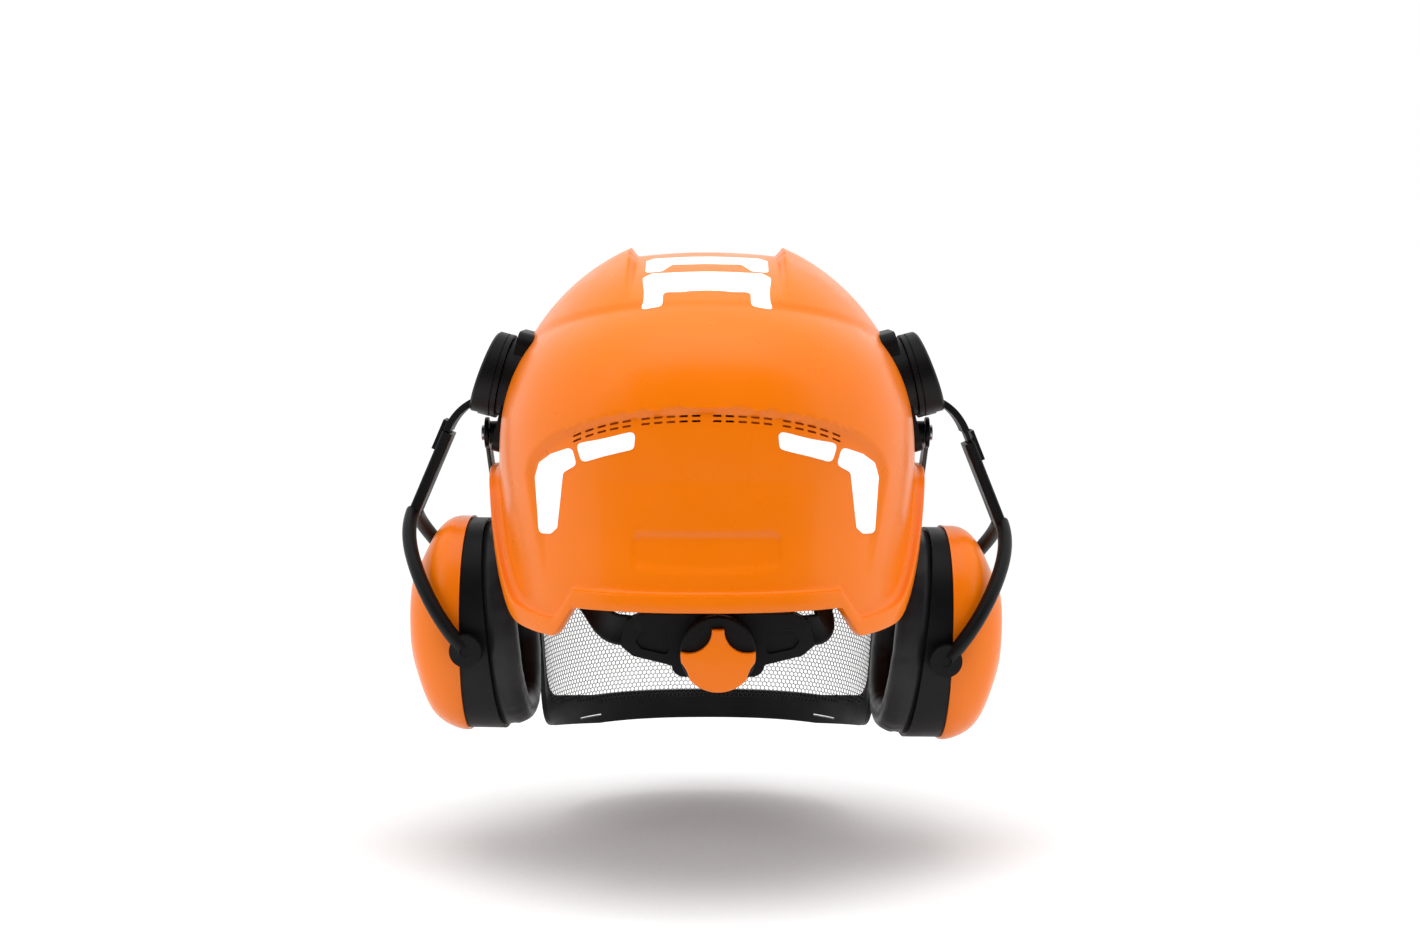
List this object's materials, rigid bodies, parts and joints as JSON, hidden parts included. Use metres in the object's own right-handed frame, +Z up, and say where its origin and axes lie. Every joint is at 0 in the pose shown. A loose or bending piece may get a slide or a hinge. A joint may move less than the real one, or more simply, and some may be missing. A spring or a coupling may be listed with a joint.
{
  "type": "forestry helmet",
  "caption": "Hard-shell forestry helmet with a ratchet harness, hexagonal mesh face visor and flip-out ear muffs on sliding yokes.",
  "frame": {"origin": "centre of the head opening, on the plane of the headband's lower edge", "axes": "+Z up, the wearer faces -Y, +X is the wearer's left"},
  "size_m": [0.3079, 0.2785, 0.2673],
  "materials": {
    "shell_orange": "injection-moulded, semi-gloss",
    "reflective": "retroreflective film",
    "harness_black": "fine moulded grain",
    "sweat_leather": "perforated",
    "webbing": "woven polyester",
    "muff_black": "fine moulded grain",
    "steel": "zinc plated",
    "pad_foam": "foam with knitted face",
    "knob_orange": "semi-gloss",
    "visor_black": "satin",
    "mesh_metal": "etched hexagonal mesh, black",
    "seal_rubber": "matte",
    "cup_orange": "injection-moulded, semi-gloss",
    "cushion_black": "smooth vinyl skin"
  },
  "bodies": {
    "helmet": {"shell": "shell_orange", "reflectors_rear": "reflective", "reflectors_top": "reflective", "headband": "harness_black", "sweatband": "sweat_leather", "strap_hangers": "harness_black", "crown_strap_1": "webbing", "crown_strap_2": "webbing", "crown_strap_3": "webbing", "left_band_arm": "harness_black", "right_band_arm": "harness_black", "left_bracket": "muff_black", "right_bracket": "muff_black", "hub_bolts": "steel", "hub_nuts": "steel", "visor_pins": "steel"},
    "nape": {"nape_frame": "harness_black", "nape_housing": "harness_black", "nape_pads": "pad_foam"},
    "knob": {"knob_grip": "harness_black", "knob_star": "knob_orange", "pinion": "harness_black"},
    "visor": {"visor_frame": "visor_black", "visor_mesh": "mesh_metal", "visor_seal": "seal_rubber", "left_visor_arm": "visor_black", "right_visor_arm": "visor_black"},
    "left_hub": {"left_hub_drum": "muff_black", "left_hub_cap": "muff_black", "left_hub_pin": "steel"},
    "left_arm": {"left_arm": "muff_black"},
    "left_yoke": {"left_yoke": "muff_black"},
    "left_cup": {"left_cup": "cup_orange", "left_cup_ring": "muff_black", "left_cushion": "cushion_black", "left_cup_foam": "pad_foam"},
    "right_hub": {"right_hub_drum": "muff_black", "right_hub_cap": "muff_black", "right_hub_pin": "steel"},
    "right_arm": {"right_arm": "muff_black"},
    "right_yoke": {"right_yoke": "muff_black"},
    "right_cup": {"right_cup": "cup_orange", "right_cup_ring": "muff_black", "right_cushion": "cushion_black", "right_cup_foam": "pad_foam"}
  },
  "joints": [
    {"name": "visor_tilt", "type": "hinge", "parent": "helmet", "child": "visor", "pos_m": [0, -0.014, 0.05], "axis": [-1, 0, 0], "range_deg": [0, 75]},
    {"name": "left_hub_swing", "type": "hinge", "parent": "helmet", "child": "left_hub", "pos_m": [0.1017, 0, 0.0797], "axis": [0.9666, -0.0846, 0.2419], "range_deg": [-5, 5]},
    {"name": "left_arm_flip", "type": "hinge", "parent": "left_hub", "child": "left_arm", "pos_m": [0.11047, -0.00077, 0.0705], "axis": [-0.0872, -0.9962, 0], "range_deg": [-3.5, 24]},
    {"name": "left_yoke_slide", "type": "slide", "parent": "left_arm", "child": "left_yoke", "axis": [0.3983, -0.0348, -0.9166], "range_m": [0, 0.018]},
    {"name": "left_cup_tilt", "type": "hinge", "parent": "left_yoke", "child": "left_cup", "pos_m": [0.11475, -0.00114, -0.0526], "axis": [0.0872, 0.9962, 0], "range_deg": [-7, 7]},
    {"name": "right_hub_swing", "type": "hinge", "parent": "helmet", "child": "right_hub", "pos_m": [-0.1017, 0, 0.0797], "axis": [0.9666, 0.0846, -0.2419], "range_deg": [-5, 5]},
    {"name": "right_arm_flip", "type": "hinge", "parent": "right_hub", "child": "right_arm", "pos_m": [-0.11047, -0.00077, 0.0705], "axis": [-0.0872, 0.9962, 0], "range_deg": [-2, 25.5]},
    {"name": "right_yoke_slide", "type": "slide", "parent": "right_arm", "child": "right_yoke", "axis": [-0.3743, -0.0327, -0.9267], "range_m": [-0.0053, 0.0127]},
    {"name": "right_cup_tilt", "type": "hinge", "parent": "right_yoke", "child": "right_cup", "pos_m": [-0.11352, -0.00103, -0.05758], "axis": [0.0872, -0.9962, 0], "range_deg": [-7, 7]},
    {"name": "nape_slide", "type": "slide", "parent": "helmet", "child": "nape", "axis": [0, 1, 0], "range_m": [-0.0104, 0.0087], "deforming": ["left_band_arm", "right_band_arm"]},
    {"name": "knob_turn", "type": "hinge", "parent": "nape", "child": "knob", "pos_m": [-0.0053, 0.108, -0.0426], "axis": [0, 1, 0], "range_deg": [-120, 100]}
  ],
  "couplings": [
    {"joint": "knob_turn", "follows": "nape_slide", "rad_per_m": 200}
  ]
}
